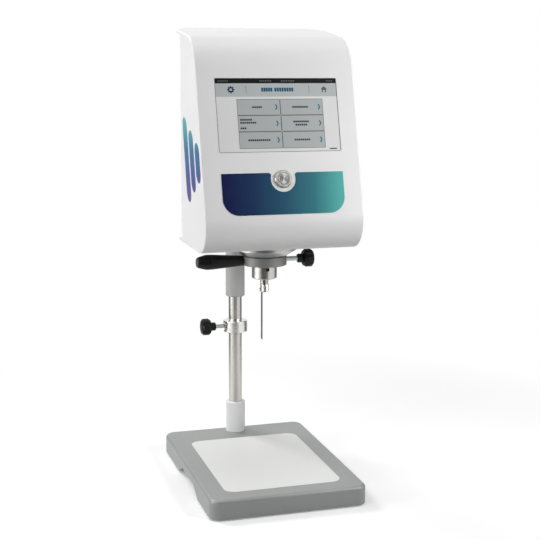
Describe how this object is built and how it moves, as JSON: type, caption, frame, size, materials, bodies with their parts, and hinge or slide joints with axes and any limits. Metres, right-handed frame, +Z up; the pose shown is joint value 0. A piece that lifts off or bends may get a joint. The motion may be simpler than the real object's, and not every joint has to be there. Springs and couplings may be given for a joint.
{
  "type": "dynamic shear rheometer",
  "caption": "Bench rheometer: a wedge-shaped white measuring head with a touch screen, clamped to a rod on a flat cast base, with a thin measuring rod hanging from its shaft.",
  "frame": {"origin": "centre of the base's outline, on the bench surface under the feet", "axes": "+Z up along the rod; the screen faces -Y; +X is to the right of someone facing the screen"},
  "size_m": [0.2, 0.3276, 0.5838],
  "materials": {
    "cast_silver": "smooth silver-grey enamel on a casting",
    "foot_rubber": "matt",
    "label_white": "satin film",
    "stainless": "brushed",
    "zinc_steel": "zinc plated",
    "nylon_white": "matt moulded",
    "collar_alloy": "turned",
    "knob_black": "fine grained moulding",
    "bush_bronze": "turned",
    "sleeve_grey": "matt anodised",
    "arm_alloy": "silver-grey enamel",
    "cover_white": "satin moulding",
    "screen_glass": "polished cover glass",
    "module_steel": "plain sheet",
    "board_green": "circuit board",
    "plate_navy": "printed film, navy to teal",
    "button_steel": "spun",
    "housing_alloy": "turned",
    "bearing_chrome": "bright",
    "motor_black": "satin",
    "part_black": "moulded",
    "disc_steel": "etched",
    "flange_alloy": "satin",
    "ring_grey": "grey anodised",
    "coupling_steel": "turned, knurled at the top",
    "rod_steel": "ground"
  },
  "bodies": {
    "stand": {"base_casting": "cast_silver", "base_feet": "foot_rubber", "base_label": "label_white", "pole": "stainless", "pole_screw": "zinc_steel", "pole_washer": "zinc_steel", "foot_sleeve": "nylon_white"},
    "collar": {"stop_collar": "collar_alloy"},
    "collar_clamp": {"collar_knob": "knob_black", "collar_knob_screw": "zinc_steel"},
    "carriage": {"guide_bushes": "bush_bronze"},
    "head": {"guide_sleeve": "sleeve_grey", "support_arm": "arm_alloy", "arm_screws": "zinc_steel", "front_cover": "cover_white", "rear_cover": "cover_white", "cover_screws": "zinc_steel", "touch_glass": "screen_glass", "display_module": "module_steel", "display_frame": "module_steel", "frame_screws": "zinc_steel", "board_standoffs": "bush_bronze", "mainboard": "board_green", "front_plate": "plate_navy", "button_bezel": "stainless", "button_nut": "zinc_steel", "chassis_frame": "module_steel", "bearing_housing": "housing_alloy", "shaft_bearings": "bearing_chrome", "drive_motor": "motor_black", "encoder_reader": "part_black", "head_flange": "flange_alloy", "flange_screws": "zinc_steel", "boss_sleeve": "stainless", "power_supply": "housing_alloy", "drive_board": "board_green", "mains_inlet": "part_black", "inlet_core": "part_black", "switch_housing": "part_black", "usb_ports": "bearing_chrome", "serial_port": "bearing_chrome", "probe_socket": "part_black"},
    "arm_clamp": {"arm_knob": "knob_black", "arm_knob_screw": "zinc_steel"},
    "button": {"button_cap": "button_steel"},
    "rocker": {"switch_rocker": "part_black"},
    "rotor": {"rotor_shaft": "stainless", "encoder_disc": "disc_steel", "spindle_coupling": "coupling_steel", "coupling_screw": "zinc_steel", "measuring_rod": "rod_steel"},
    "ring": {"clamp_ring": "ring_grey", "lift_handle": "knob_black", "handle_core": "zinc_steel"},
    "ring_clamp": {"ring_knob": "knob_black", "ring_knob_screw": "zinc_steel"}
  },
  "joints": [
    {"name": "carriage_slide", "type": "slide", "parent": "stand", "child": "carriage", "axis": [0, 0, 1], "range_m": [-0.034, 0.095]},
    {"name": "head_swivel", "type": "hinge", "parent": "carriage", "child": "head", "pos_m": [0, 0.1242, 0.38], "axis": [0, 0, 1], "range_deg": [-90, 90]},
    {"name": "collar_slide", "type": "slide", "parent": "stand", "child": "collar", "axis": [0, 0, 1], "range_m": [-0.098, 0.034]},
    {"name": "collar_clamp_turn", "type": "hinge", "parent": "collar", "child": "collar_clamp", "pos_m": [0, 0.1242, 0.178], "axis": [-1, 0, 0], "range_deg": [-180, 180]},
    {"name": "arm_clamp_turn", "type": "hinge", "parent": "head", "child": "arm_clamp", "pos_m": [0, 0.1242, 0.384], "axis": [0, 1, 0], "range_deg": [-180, 180]},
    {"name": "button_press", "type": "slide", "parent": "head", "child": "button", "axis": [0, 0.9656, -0.2602], "range_m": [0, 0.002], "stiffness_N_per_m": 1500, "springref_m": -0.001},
    {"name": "rocker_flip", "type": "hinge", "parent": "head", "child": "rocker", "pos_m": [0.064, 0.0507, 0.387], "axis": [1, 0, 0], "range_deg": [0, 16]},
    {"name": "rotor_spin", "type": "hinge", "parent": "head", "child": "rotor", "pos_m": [0, -0.0202, 0.3], "axis": [0, 0, 1], "continuous": true},
    {"name": "ring_turn", "type": "hinge", "parent": "head", "child": "ring", "pos_m": [0, -0.0202, 0.2944], "axis": [0, 0, 1], "range_deg": [-90, 90]},
    {"name": "ring_clamp_turn", "type": "hinge", "parent": "ring", "child": "ring_clamp", "pos_m": [0.03, -0.0202, 0.2944], "axis": [1, 0, 0], "range_deg": [-180, 180]}
  ]
}
